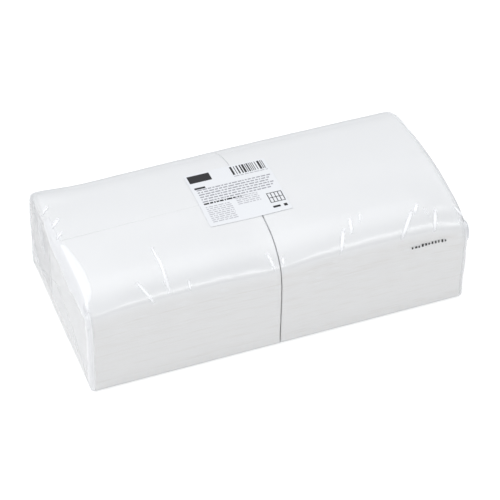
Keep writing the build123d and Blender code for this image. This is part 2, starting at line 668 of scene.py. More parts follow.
@dataclass(frozen=True)
class LabelPaper:
    """Coated label paper: smoother and a little colder than the tissue, with a faint satin gloss."""

    colour: str = "E4E6E9"
    roughness: float = 0.45
    roughness_spread: float = 0.08
    fibre_mm: float = 0.5
    fibre_detail: float = 3.0

    def make(self) -> Material:
        """Builds the material: cold white with a slight change of roughness from fibre to fibre.

        Returns:
            The label's material.
        """
        material, tree, output = new_material("coated_label_paper")
        fibre = noise(tree, self.fibre_mm, self.fibre_detail)
        smoothest, roughest = self.roughness - self.roughness_spread, self.roughness + self.roughness_spread
        rough = spread(tree, fibre, smoothest, roughest)
        coat(tree, output, {"Base Color": linear(self.colour), "Roughness": rough})
        return material


@dataclass(frozen=True)
class PrintInk:
    """Offset ink on the label: a thin satin coat, with small differences in how densely it lies."""

    name: str
    colour: str
    thin_colour: str
    roughness: float = 0.4
    patch_mm: float = 0.6
    patch_detail: float = 1.0

    def make(self) -> Material:
        """Builds the material: the ink's colour, patchy on a fine noise.

        Returns:
            The ink's material.
        """
        material, tree, output = new_material(self.name)
        patch = noise(tree, self.patch_mm, self.patch_detail)
        colour = blend(tree, patch, self.colour, self.thin_colour)
        coat(tree, output, {"Base Color": colour, "Roughness": self.roughness})
        return material


@dataclass(frozen=True)
class Ripples:
    """Seeded sum of sine waves over a plane, with values from about minus one to one."""

    seed: int
    wavelength: float
    count: int = 7
    stretch: Pair = (0.6, 1.6)

    def at(self, u: Array, v: Array) -> Array:
        """Adds up waves of random direction and phase, each with a wavelength near the given one.

        Args:
            u: first coordinate in the plane.
            v: second coordinate in the plane.

        Returns:
            The sum of the waves, scaled by the root of their number.
        """
        draw = np.random.default_rng(self.seed)
        total = np.zeros(np.broadcast(u, v).shape)
        for _ in range(self.count):
            heading = draw.uniform(0.0, math.tau)
            pitch = math.tau / (self.wavelength * draw.uniform(*self.stretch))
            phase = draw.uniform(0.0, math.tau)
            total += np.sin(pitch * (u * math.cos(heading) + v * math.sin(heading)) + phase)
        return total / math.sqrt(self.count)


def end_wave(y: Array, z: Array) -> Array:
    """Gentle outward bulges of the film over an end of the pack, shared by the flaps that lie on it."""
    return END_WAVE_HEIGHT * (END_WAVE_RAISE + Ripples(END_WAVE_SEED, END_WAVE_LENGTH).at(y, z))


@dataclass
class NapkinStack:
    """One stack of folded napkins: upright sides of rounded folded edges under a smooth top."""

    form: LoafForm
    settling: Settling
    name: str
    right: bool
    back: bool
    halves_gap: float
    rows_gap: float
    gap_radius: float
    row_radius: float
    seed: int
    layers: int = 56
    layer_shares: tuple[float, ...] = (0.0, 0.16, 0.5, 0.84)
    layer_stride: float = 31.0
    corner_radius: float = 0.8
    least_radius: float = 0.001
    crease_start: float = 60.0
    groove_depth: float = 0.1
    groove_power: int = 5
    shallowest: float = 0.15
    stagger: float = 0.06
    stagger_layers: float = 4.5
    stagger_length: float = 22.0
    streak_seed: int = 9
    streak_length: float = 26.0
    streak_middle: float = 0.5
    streak_swing: float = 0.6
    # Painted shade over the folded sides, taken off where the painted gleams run as highlights.
    wall_shade: float = 0.17
    gleam_seed: int = 17
    gleam_length: float = 11.0
    gleam_least: float = 0.7
    gleam_zone: Pair = (0.3, 0.9)
    fade_zone: Pair = (0.93, 1.0)
    top_rows: int = 44
    top_power: float = 1.5
    base_rows: int = 6
    small_turn_steps: int = 8
    large_turn_steps: int = 10
    side_steps: tuple[int, ...] = (34, 44, 84, 24)

    @property
    def near(self) -> Array:
        """Inner corner of the plan, in the middle of the pack."""
        return np.array([self.halves_gap, self.rows_gap]) / 2.0

    @property
    def far(self) -> Array:
        """Outer corner of the plan, at the pack's own corner."""
        return np.array([self.form.half_length, self.form.half_width])

    def row_edge(self, x: Array) -> Array:
        """Radius of the edge along the other row, which opens from the half's middle to the pack's end."""
        return self.row_radius * ease(self.crease_start, self.form.half_length, x)

    def outline(self) -> tuple[Array, Array]:
        """Plan of the stack at the back on the right, as a rounded rectangle.

        Each side is a straight run and each corner a quarter circle, small where it meets another stack and
        large at the pack's own corner.

        Returns:
            Points of the plan and the outward direction at each.
        """
        near_x, near_y = self.near
        far_x, far_y = self.far
        small, large = self.corner_radius, self.form.corner_radius
        few, many = self.small_turn_steps, self.large_turn_steps
        corners = [
            (near_x + small, near_y + small, small, 180.0, few),
            (far_x - small, near_y + small, small, 270.0, few),
            (far_x - large, far_y - large, large, 0.0, many),
            (near_x + small, far_y - small, small, 90.0, few),
        ]
        arcs, turns = [], []
        for x, y, radius, start, steps in corners:
            turn = np.radians(np.linspace(start, start + 90.0, steps))
            turns.append(np.stack([np.cos(turn), np.sin(turn)], axis=-1))
            arcs.append(np.array([x, y]) + turns[-1] * radius)
        points, normals = [], []
        for place, steps in enumerate(self.side_steps):
            after = arcs[(place + 1) % len(arcs)][0]
            share = np.linspace(0.0, 1.0, steps + 2)[1:-1, None]
            points += [arcs[place], arcs[place][-1] * (1.0 - share) + after * share]
            normals += [turns[place], np.repeat(turns[place][-1:], steps, axis=0)]
        return np.concatenate(points), np.concatenate(normals)

    def top(self, x: Array, y: Array) -> Array:
        """Height of the stack's top: the loaf's arcs less the falls of the long arc and the rounded edges."""
        height = self.form.top(y) - self.form.length_fall(x)
        height = height - edge_fall(self.form.half_length - x, self.form.end_radius)
        height = height - edge_fall(x - self.near[0], self.gap_radius)
        return height - edge_fall(y - self.near[1], self.row_edge(x))

    def wall(self, plan: Array, normal: Array) -> tuple[Array, Array]:
        """Rows of the upright sides, from the base edge to where the top begins.

        A row is the plan with its four sides moved in. At the foot they move by the base edge's fall, and
        near the top by the cheek or the rounded edge of that side, which grows as the square of the height
        within it. Each napkin gives a groove and stands out or back a little by a slow random wave.

        Args:
            plan: points of the plan.
            normal: outward direction at each point.

        Returns:
            Points of the rows, and the painted shade of each: deepest in the fold lines, light over the
            whole side, less where painted gleams run as highlights, and none at the top.
        """
        lip_depth = 1.0 - math.sin(self.form.cheek_tilt)
        lip_height = math.cos(self.form.cheek_tilt)
        outer = (plan - self.near) / (self.far - self.near)
        near_radius = np.stack([np.full(len(plan), self.gap_radius), self.row_edge(plan[:, 0])], axis=-1)
        far_radius = np.array([self.form.end_radius, self.form.cheek_radius])
        edge = plan + lip_depth * (near_radius * (1.0 - outer) - far_radius * outer)
        rim = self.top(edge[:, 0], edge[:, 1])
        share = (np.arange(self.layers)[:, None] + np.array(self.layer_shares)[None, :]).ravel()
        share = np.append(share, self.layers) / self.layers
        height = self.form.base + share[:, None] * (rim - self.form.base)[None, :]
        below = (rim - height)[..., None] / lip_height
        above = (height - self.form.base)[..., None]
        near_share = np.clip(1.0 - below / np.maximum(near_radius, self.least_radius), 0.0, 1.0)
        far_share = np.clip(1.0 - below / far_radius, 0.0, 1.0)
        near_inset = near_share**2 * near_radius * lip_depth + edge_fall(above, self.corner_radius)
        far_inset = far_share**2 * far_radius * lip_depth + edge_fall(above, self.form.base_radius)
        even = plan + near_inset * (1.0 - outer) - far_inset * outer
        within = share * self.layers
        napkin = np.floor(within)
        groove = np.abs(2.0 * (within - napkin) - 1.0) ** self.groove_power
        depths = np.random.default_rng(self.seed).uniform(self.shallowest, 1.0, self.layers + 1) ** 2
        groove = groove * depths[np.round(within).astype(int)]
        around = np.cumsum(np.linalg.norm(np.diff(plan, axis=0, append=plan[:1]), axis=1))[None, :]
        layer = napkin[:, None]
        wave = Ripples(self.seed, self.stagger_layers).at(layer, around / self.stagger_length)
        fade = 1.0 - ease(*self.fade_zone, share)[:, None]
        streaks = Ripples(self.seed + self.streak_seed, self.streak_length)
        streak = self.streak_middle + self.streak_swing * streaks.at(around, layer * self.layer_stride)
        groove = groove[:, None] * np.clip(streak, 0.0, 1.0)
        out = (wave * self.stagger - self.stagger - groove * self.groove_depth) * fade
        rows = np.concatenate([even + normal * out[..., None], height[..., None]], axis=-1)
        # Painted highlights: gleams are light streaks along the folded edges. The side's painted shade is
        # light grey, deeper in the fold lines and less under the gleams.
        gleams = Ripples(self.seed + self.gleam_seed, self.gleam_length)
        gleam = np.clip(gleams.at(around, layer * self.layer_stride) - self.gleam_least, 0.0, 1.0)
        gleam = gleam * ease(*self.gleam_zone, share)[:, None]
        tone = self.wall_shade * (1.0 - gleam) + (1.0 - self.wall_shade) * groove
        return rows, tone * fade

    def build(self, material: Material) -> Piece:
        """Builds the stack: its base, its sides and its top as one closed surface of rings.

        Args:
            material: the tissue.

        Returns:
            The stack's object.
        """
        plan, normal = self.outline()
        wall, groove = self.wall(plan, normal)
        middle = plan.mean(axis=0)
        rim = wall[-1, :, :2]
        inwards = 1.0 - (np.arange(1, self.top_rows) / self.top_rows) ** self.top_power
        top_plan = middle + (rim[None] - middle) * inwards[:, None, None]
        top_height = self.top(top_plan[..., 0], top_plan[..., 1])
        top_rows = np.concatenate([top_plan, top_height[..., None]], axis=-1)
        outwards = np.arange(1, self.base_rows)[:, None, None] / self.base_rows
        base_plan = middle + (wall[0, None, :, :2] - middle) * outwards
        base_rows = np.concatenate([base_plan, np.full(base_plan.shape[:2] + (1,), self.form.base)], axis=-1)
        rows = np.concatenate([base_rows, wall, top_rows])
        poles = np.array([[*middle, self.form.base], [*middle, float(self.top(middle[0], middle[1]))]])
        turn = np.array([sign(self.right), sign(self.back), 1.0])
        rows = self.settling.move(rows * turn)
        poles = self.settling.move(poles * turn)
        piece = put_lofted(self.name, rows, (poles[0], poles[1]), material)
        # The painted shade goes onto the side rows only.
        lines = np.zeros(rows.shape[:2])
        lines[len(base_rows) : len(base_rows) + len(wall)] = groove
        paint(piece, "fold_shade", lines)
        dress(piece, self.name)
        return piece


@dataclass(frozen=True)
class Wrinkle:
    """One pinched crease of the film, by length along the pack and girth from the crest round the front."""

    start_x: float
    start_girth: float
    end_x: float
    end_girth: float
    width: float = 1.1
    height: float = 0.05
    # Milky white of the crease, which also paints its highlight.
    haze_highlight: float = 1.0
    tip: float = 0.05
    slim: float = 0.55
    edge: Pair = (0.7, 1.5)

    def share(self, x: Array, girth: Array) -> Array:
        """Height of the crease at each point, from none to one.

        Across the crease it is level and then falls as a smooth step. Along it, it grows and dies as the root
        of a half circle does.

        Args:
            x: length along the pack.
            girth: distance from the crest round the front.

        Returns:
            The crease's share at each point.
        """
        run_x, run_girth = self.end_x - self.start_x, self.end_girth - self.start_girth
        off_x, off_girth = x - self.start_x, girth - self.start_girth
        held = np.clip((off_x * run_x + off_girth * run_girth) / (run_x**2 + run_girth**2), 0.0, 1.0)
        away = np.hypot(off_x - held * run_x, off_girth - held * run_girth)
        taper = np.sqrt(np.clip(1.0 - (2.0 * held - 1.0) ** 2, self.tip, 1.0))
        reach = self.width * (self.slim + (1.0 - self.slim) * taper)
        return (1.0 - ease(*self.edge, away / reach)) * np.sqrt(taper)


@dataclass
class FilmWrap:
    """Clear film drawn tight round all four stacks, as one closed surface.

    A tone is painted shade: grey that the film takes where shade falls at its foot, rims and ends, and where
    it is gathered. A haze is how milky it is, which paints highlights as well as creased film. Each grows
    from none
    to all within its zones: in millimetres, in shares of the height or half the width, or by how far a row is
    into an end.
    """

    form: LoafForm
    settling: Settling
    growth: float
    wrinkles: list[Wrinkle]
    label_x: float
    label_y: float
    body_rows: int = 316
    round_rows: int = 11
    cap_rows: int = 26
    crease_rows: Pair = (0.9, 1.0)
    wave_seed: int = 11
    wave_length: float = 34.0
    wave_height: float = 0.08
    wave_foot: float = 6.0
    calm: Pair = (40.0, 60.0)
    end_zone: Pair = (0.4, 1.0)
    fold_zone: Pair = (0.2, 0.7)
    # Painted shade: a shadow line along the foot, shade along the back rim, in a valley above the front rim,
    # down the ends and on tall creases.
    base_tone: float = 0.8
    base_zone: Pair = (0.5, 2.0)
    back_tone: float = 0.55
    back_reach: float = 13.0
    valley_tone: float = 0.1
    valley_above: float = 8.0
    valley_reach: float = 7.0
    valley_right: float = 0.45
    valley_zone: Pair = (-40.0, 40.0)
    right_tone: float = 0.2
    right_tone_top: Pair = (0.7, 0.8)
    left_back_tone: float = 0.9
    left_back_zone: Pair = (0.93, 0.98)
    pinch_tone: float = 0.9
    pinch_start: float = 0.3
    # Painted highlights and light, as milky film: on the right end's top edge, on both front corners and on
    # the left end.
    right_haze_highlight: float = 0.35
    right_haze_highlight_zone: Pair = (0.1, 0.5)
    right_haze_highlight_top: Pair = (0.75, 0.9)
    left_corner_haze_highlight: float = 0.68
    right_corner_haze_highlight: float = 0.35
    corner_zone: Pair = (0.4, 0.46)
    corner_front: Pair = (0.88, 0.93)
    left_haze_highlight: float = 0.25
    left_haze_highlight_zone: Pair = (0.85, 1.0)
    left_haze_highlight_foot: Pair = (2.0, 16.0)
    front_steps: SectionSteps = SectionSteps(
        crown=44, shoulder=32, rim=12, cheek=16, side=36, fillet=5, base=8
    )
    back_steps: SectionSteps = SectionSteps(
        crown=22, shoulder=14, rim=6, cheek=8, side=18, fillet=4, base=6
    )

    def sections(self, fall: Array, depth: Array) -> Array:
        """Closed cross sections that run from the crest down the back, under the base and up the front."""
        back = self.form.half_section(self.back_steps, self.growth, fall, depth)[:, :-1]
        front = self.form.half_section(self.front_steps, self.growth, fall, depth)[:, :0:-1]
        return np.concatenate([back, front * np.array([-1.0, 1.0])], axis=1)

    def girth(self) -> Array:
        """Distance of each column from the crest along the section, with the front counted as positive."""
        loop = self.sections(np.zeros((1, 1)), np.full((1, 1), self.form.half_length))[0]
        step = np.linalg.norm(np.diff(loop, axis=0, append=loop[:1]), axis=1)
        down_back = np.concatenate([[0.0], np.cumsum(step)[:-1]])
        up_front = step.sum() - down_back
        return np.where(loop[:, 0] >= 0.0, -down_back, up_front)

    def rows(self) -> tuple[Array, Array, Array]:
        """Points of the even film, before its wrinkles.

        Along the pack the sections keep their size, then shrink round each end as a quarter circle does, and
        at last close in on the middle of the end.

        Returns:
            Points as rows and columns, for each row how far it is into an end, up to one, and its size.
        """
        radius = self.form.end_radius + self.growth
        reach = self.form.half_length + self.growth
        body = np.linspace(radius - reach, reach - radius, self.body_rows)
        turn = np.linspace(0.0, QUARTER_TURN, self.round_rows + 1)[1:]
        shrink = 1.0 - np.arange(1, self.cap_rows) / self.cap_rows
        end_x = reach - radius + radius * np.sin(turn)
        cap_x = np.full(len(shrink), reach)
        x = np.concatenate([-cap_x, -end_x[::-1], body, end_x, cap_x])
        keep = np.concatenate([shrink[::-1], np.ones(len(turn) * 2 + len(body)), shrink])
        depth = reach - np.abs(x)
        loops = self.sections(self.form.length_fall(x)[:, None], depth[:, None])
        middle = np.array([0.0, self.form.crest / 2.0])
        loops = middle + (loops - middle) * keep[:, None, None]
        points = np.concatenate([np.repeat(x[:, None, None], loops.shape[1], axis=1), loops], axis=-1)
        return points, np.clip(1.0 - depth / radius, 0.0, 1.0), keep

    def girth_of_rim(self) -> float:
        """Distance of the rim from the crest along the section: the crown's and the shoulder's arcs."""
        crown = (self.form.crown_radius + self.growth) * self.form.crown_tilt
        shoulder = (self.form.shoulder_radius + self.growth) * (self.form.rim_tilt - self.form.crown_tilt)
        return crown + shoulder

    def gathered_and_shade(self, points: Array, girth: Array, ends: Array) -> Array:
        """Painted shade on the film: at the foot, along the back rim, above the front rim and down the ends.

        Args:
            points: points of the even film, as rows and columns.
            girth: distance of each point from the crest round the front.
            ends: how far each row is into an end.

        Returns:
            The largest of the tones at each point.
        """
        x, y, z = np.moveaxis(points, -1, 0)
        rim = self.girth_of_rim()
        fold = ease(*self.fold_zone, ends)[:, None]
        # Painted shadow at the foot and painted shade on the rims and ends.
        foot = self.base_tone * (1.0 - ease(*self.base_zone, z))
        back = self.back_tone * hump(rim, self.back_reach, -girth)
        valley = self.valley_tone * hump(rim - self.valley_above, self.valley_reach, girth)
        valley = valley * (1.0 - (1.0 - self.valley_right) * ease(*self.valley_zone, x))
        right = self.right_tone * fold * (x > 0.0)
        right = right * (1.0 - ease(*self.right_tone_top, z / self.form.crest))
        left_back = self.left_back_tone * fold * (x < 0.0)
        left_back = left_back * ease(*self.left_back_zone, y / self.form.half_width)
        return np.maximum.reduce([foot, back, valley, right, left_back])

    def milky_highlights(self, points: Array, ends: Array) -> Array:
        """Painted highlights and light, as milky film, on the right end's top edge, on both front corners and
        on the left end.

        Args:
            points: points of the even film, as rows and columns.
            ends: how far each row is into an end.

        Returns:
            The largest of the hazes at each point.
        """
        x, y, z = np.moveaxis(points, -1, 0)
        right = self.right_haze_highlight * ease(*self.right_haze_highlight_zone, ends)[:, None] * (x > 0.0)
        right = right * ease(*self.right_haze_highlight_top, z / self.form.crest)
        corner = np.where(x < 0.0, self.left_corner_haze_highlight, self.right_corner_haze_highlight)
        corner = corner * ease(*self.corner_front, -y / self.form.half_width)
        corner = corner * ease(*self.corner_zone, ends)[:, None]
        left = self.left_haze_highlight * ease(*self.left_haze_highlight_zone, ends)[:, None] * (x < 0.0)
        left = left * ease(*self.left_haze_highlight_foot, z)
        return np.maximum.reduce([right, corner, left])

    def build(self, material: Material) -> Piece:
        """Builds the film with its creases and gentle waves.

        A point moves along the surface's normal by the tallest crease there and by a slow random wave. The
        wave is stronger on the ends, where the film is folded, and dies under the label and at the foot.

        Args:
            material: the film.

        Returns:
            The film's object.
        """
        points, ends, keep = self.rows()
        x, y, z = np.moveaxis(points, -1, 0)
        girth = np.repeat(self.girth()[None, :], len(points), axis=0)
        # Painted highlights as haze, and milky creases that also paint their highlights.
        haze_highlight = self.milky_highlights(points, ends)
        crease = np.zeros(girth.shape)
        for wrinkle in self.wrinkles:
            share = wrinkle.share(x, girth) * ease(*self.crease_rows, keep)[:, None]
            crease = np.maximum(crease, share * wrinkle.height)
            haze_highlight = np.maximum(haze_highlight, share * wrinkle.haze_highlight)
        off_label = ease(*self.calm, np.abs(x - self.label_x))
        off_label = np.maximum(off_label, ease(*self.calm, np.abs(girth + self.label_y)))
        wave = self.wave_height * Ripples(self.wave_seed, self.wave_length).at(x, girth) * off_label
        on_end = ease(*self.end_zone, ends)[:, None]
        lift = crease + wave * (1.0 - on_end) + end_wave(y, z) * on_end
        lift = lift * ease(0.0, self.wave_foot, z)
        across = np.roll(points, -1, axis=1) - np.roll(points, 1, axis=1)
        normal = np.cross(across, np.gradient(points, axis=0))
        normal /= np.maximum(np.linalg.norm(normal, axis=-1, keepdims=True), TINY)
        middle = np.array([0.0, 0.0, self.form.crest / 2.0])
        outwards = np.sign((normal * (points - middle)).sum())
        moved = self.settling.move(points + normal * outwards * lift[..., None])
        reach = np.array([self.form.half_length + self.growth, 0.0, 0.0])
        poles = self.settling.move(np.stack([middle - reach, middle + reach]))
        piece = put_lofted("film_wrap_sheet", moved, (poles[0], poles[1]), material)
        # Painted shade on the tallest creases, then the painted haze and the painted shade go onto the film.
        pinched = self.pinch_tone * np.clip(crease - self.pinch_start, 0.0, 1.0)
        paint(piece, "haze_highlight", haze_highlight)
        paint(piece, "gathered_and_shade", np.maximum(self.gathered_and_shade(points, girth, ends), pinched))
        dress(piece, "film_wrap")
        return piece


@dataclass
class DrapedFlap:
    """Flap of film that comes over an end's top edge and hangs down the end, milky as painted light, with a
    painted highlight band along the fold.
    """

    form: LoafForm
    settling: Settling
    growth: float
    right: bool
    start: float
    band_width: float
    band_haze_highlight: float
    lift: float = 0.25
    rise_length: float = 8.0
    thickness: float = FLAP_THICKNESS
    low: float = 75.5
    low_y: float = -45.0
    low_rise: float = 0.00178
    low_wave: float = 1.2
    low_wave_length: float = 22.0
    least_drop: float = 1.0
    # Painted light: the milky flap makes the end's upper part lighter, and the band along the fold is a
    # painted highlight.
    haze_highlight: float = 0.66
    band_y: Pair = (-72.0, -4.0)
    band_lean: float = 0.4
    band_edge: float = 0.3
    band_end: Pair = (2.25, 4.5)
    near_y: float = -84.0
    far_y: float = 34.0
    seed: int = 31
    columns: int = 130
    rows: int = 60

    def build(self, material: Material) -> Piece:
        """Builds the flap along a path that runs from the top over the end's quarter round and straight down.

        The path begins at its start past the top edge and, along the painted highlight band, further back by
        the band's width, which is that of a half ellipse that leans to the front. It ends at a wavy lower
        edge, whose height is a parabola across the end.

        Args:
            material: the film.

        Returns:
            The flap's object.
        """
        y = np.linspace(self.near_y, self.far_y, self.columns)[None, :]
        share = np.linspace(0.0, 1.0, self.rows)[:, None]
        radius = self.form.end_radius + self.growth
        reach = self.form.half_length + self.growth
        crest = self.form.top(y, self.growth) - self.form.length_fall(np.array(self.form.half_length))
        wave = self.low_wave * Ripples(self.seed, self.low_wave_length).at(y, np.zeros_like(y))
        low = self.low + self.low_rise * (y - self.low_y) ** 2 + wave
        bend = radius * QUARTER_TURN
        drop = np.maximum(crest - radius - low, self.least_drop)
        first, last = self.band_y
        along = np.clip((2.0 * y - first - last) / (last - first), -1.0, 1.0)
        swell = np.sqrt(1.0 - along**2) * (1.0 - self.band_lean * along)
        start = self.start - self.band_width * swell
        path = start + (bend + drop - start) * share
        turn = np.clip(path / radius, 0.0, QUARTER_TURN)
        off = self.lift * ease(0.0, self.rise_length, path - start)
        out = reach - radius + np.minimum(path, 0.0) + (radius + off) * np.sin(turn)
        z = crest - radius + (radius + off) * np.cos(turn) - np.maximum(path - bend, 0.0)
        out = out + end_wave(y, z) * ease(0.0, bend, path)
        points = self.settling.move(np.stack([sign(self.right) * out, y + 0.0 * z, z], axis=-1))
        piece = put_sheet(f"film_flap_{side_name(self.right)}_upper", points, self.thickness, material)
        # Painted highlight band along the fold, on the flap's painted light.
        band = ease(0.0, self.band_edge, swell) * (1.0 - ease(*self.band_end, path))
        paint(piece, "haze_highlight", self.haze_highlight + (self.band_haze_highlight - self.haze_highlight) * band)
        dress(piece, "film_wrap")
        return piece


@dataclass
class EndFlap:
    """Folded flap of film on an end of the pack, between four corners given as distance across and height."""

    form: LoafForm
    settling: Settling
    growth: float
    right: bool
    corners: tuple[Pair, ...] = ((20.0, 86.0), (78.0, 78.0), (80.0, 14.0), (26.0, 12.0))
    lift: float = 0.15
    edge_lift: float = 0.3
    border: float = 0.1
    # Painted reflections: lighter milky patches, and a painted highlight in a broken line along the edge.
    haze_highlight: float = 0.3
    patch_length: float = 34.0
    patch_squeeze: tuple[float, float] = (1.5, 0.5)
    patch_full: float = 1.6
    edge_haze_highlight: float = 0.7
    edge_width: float = 0.02
    break_length: float = 26.0
    break_zone: Pair = (-0.3, 0.7)
    # Slight grey where the flap lies on the film: the extra sheet's loss and painted shade.
    gathered_and_shade: float = 0.06
    thickness: float = FLAP_THICKNESS
    seed: int = 41
    columns: int = 80
    rows: int = 80

    def build(self, material: Material) -> Piece:
        """Builds the flap as a grid between its corners that lies down on the film along its border.

        A point is the mix of the four corners by its shares of width and height, moved out by the film's own
        waves and by the lift. The haze paints lighter reflections in patches, and a highlight along the edge
        in a fine broken line.

        Args:
            material: the film.

        Returns:
            The flap's object.
        """
        u = np.linspace(0.0, 1.0, self.columns)[None, :, None]
        v = np.linspace(0.0, 1.0, self.rows)[:, None, None]
        first, second, third, fourth = [np.array(corner) for corner in self.corners]
        plane = (first * (1.0 - u) + second * u) * (1.0 - v) + (fourth * (1.0 - u) + third * u) * v
        y, z = plane[..., 0], plane[..., 1]
        depth = np.minimum(np.minimum(u, 1.0 - u), np.minimum(v, 1.0 - v))[..., 0]
        inside = ease(0.0, self.border, depth)
        reach = self.form.half_length + self.growth
        out = reach + end_wave(y, z) + self.lift * (self.edge_lift + (1.0 - self.edge_lift) * inside)
        points = self.settling.move(np.stack([sign(self.right) * out, y, z], axis=-1))
        piece = put_sheet(f"film_flap_{side_name(self.right)}_tucked", points, self.thickness, material)
        squeeze_y, squeeze_z = self.patch_squeeze
        patches = Ripples(self.seed, self.patch_length).at(y * squeeze_y, z * squeeze_z)
        broken = ease(*self.break_zone, Ripples(self.seed + 1, self.break_length).at(y, z))
        edge = self.edge_haze_highlight * broken * hump(0.0, self.edge_width, depth)
        # Painted reflections and edge highlight as haze, and slight painted shade as the gathered tint.
        paint(piece, "haze_highlight", self.haze_highlight * ease(0.0, self.patch_full, patches) + edge)
        paint(piece, "gathered_and_shade", self.gathered_and_shade * inside)
        dress(piece, "film_wrap")
        return piece


@dataclass(frozen=True)
class InkPatch:
    """Printed rectangle on the label, in millimetres from the label's lower left corner."""

    left: float
    low: float
    width: float
    height: float


@dataclass(frozen=True)
class SmallPrint:
    """Lines of bars that stand for small print. Every third line is whole, and the next two are shorter."""

    ink: Ink
    left: float
    low: float
    length: float
    height: float
    lines: int = 1
    pitch: float = 0.0
    shorter: float = 0.0
    bar_lengths: Pair = (1.2, 5.0)
    shortest_bar: float = 0.6
    bar_gaps: Pair = (0.7, 1.1)

    def patches(self, draw: np.random.Generator) -> list[InkPatch]:
        """Draws the lines from the top down, each as bars and gaps of random length.

        Args:
            draw: source of the random lengths.

        Returns:
            The printed bars.
        """
        made = []
        for line in range(self.lines):
            at = self.left
            end = self.left + self.length - self.shorter * (line % 3)
            while at < end:
                bar = min(float(draw.uniform(*self.bar_lengths)), end - at)
                if bar > self.shortest_bar:
                    made.append(InkPatch(at, self.low - line * self.pitch, bar, self.height))
                at += bar + float(draw.uniform(*self.bar_gaps))
        return made


@dataclass(frozen=True)
class BarCode:
    """Upright bars of a few widths with gaps of a few widths."""

    left: float = 40.0
    end: float = 69.5
    low: float = 58.0
    height: float = 12.0
    bars: tuple[float, ...] = (0.6, 1.2, 1.8)
    gaps: tuple[float, ...] = (0.9, 1.6)

    def patches(self, draw: np.random.Generator) -> list[InkPatch]:
        """Draws the bars from left to right, up to the end."""
        made = []
        at = self.left
        while at < self.end:
            bar = float(draw.choice(self.bars))
            made.append(InkPatch(at, self.low, bar, self.height))
            at += bar + float(draw.choice(self.gaps))
        return made


@dataclass(frozen=True)
class FoldGrid:
    """Line drawing of a sheet and the fields it is folded to."""

    left: float = 57.0
    low: float = 12.0
    columns: int = 4
    rows: int = 2
    field_width: float = 3.1
    field_height: float = 6.0
    line: float = 0.7

    def patches(self) -> list[InkPatch]:
        """Lines below and left of each field, then the two that close the drawing above and on the right."""
        made = []
        for column in range(self.columns):
            for row in range(self.rows):
                left, low = self.left + column * self.field_width, self.low + row * self.field_height
                made.append(InkPatch(left, low, self.field_width, self.line))
                made.append(InkPatch(left, low, self.line, self.field_height))
        width, height = self.columns * self.field_width, self.rows * self.field_height
        made.append(InkPatch(self.left, self.low + height, width + self.line, self.line))
        made.append(InkPatch(self.left + width, self.low, self.line, height + self.line))
        return made


